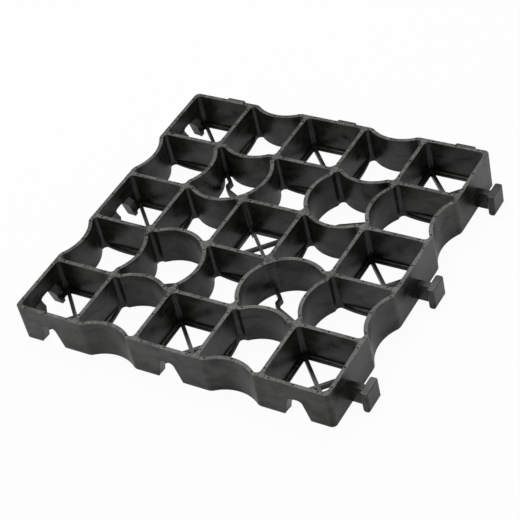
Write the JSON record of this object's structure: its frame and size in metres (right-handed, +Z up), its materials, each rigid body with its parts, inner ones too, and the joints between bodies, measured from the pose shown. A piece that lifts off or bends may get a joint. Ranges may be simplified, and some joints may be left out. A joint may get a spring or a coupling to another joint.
{
  "type": "grass paver grid",
  "caption": "Square moulded plastic ground grid with straight and wavy cell walls, foot bars, edge clips and notches; filled with turf or gravel it carries people, horses and cars.",
  "frame": {"origin": "on the underside, in the middle of the whole outline with its clips; the middle of the tile body is 10.5 mm from it towards -X and -Y", "axes": "+Z up through the cells, +X to the right edge with clips, +Y to the back edge with clips"},
  "size_m": [0.354, 0.354, 0.04],
  "materials": {
    "recycled_polyethylene": "moulded recycled polyethylene, dark grey, satin"
  },
  "bodies": {
    "root": {"paver_grid": "recycled_polyethylene"}
  },
  "joints": []
}
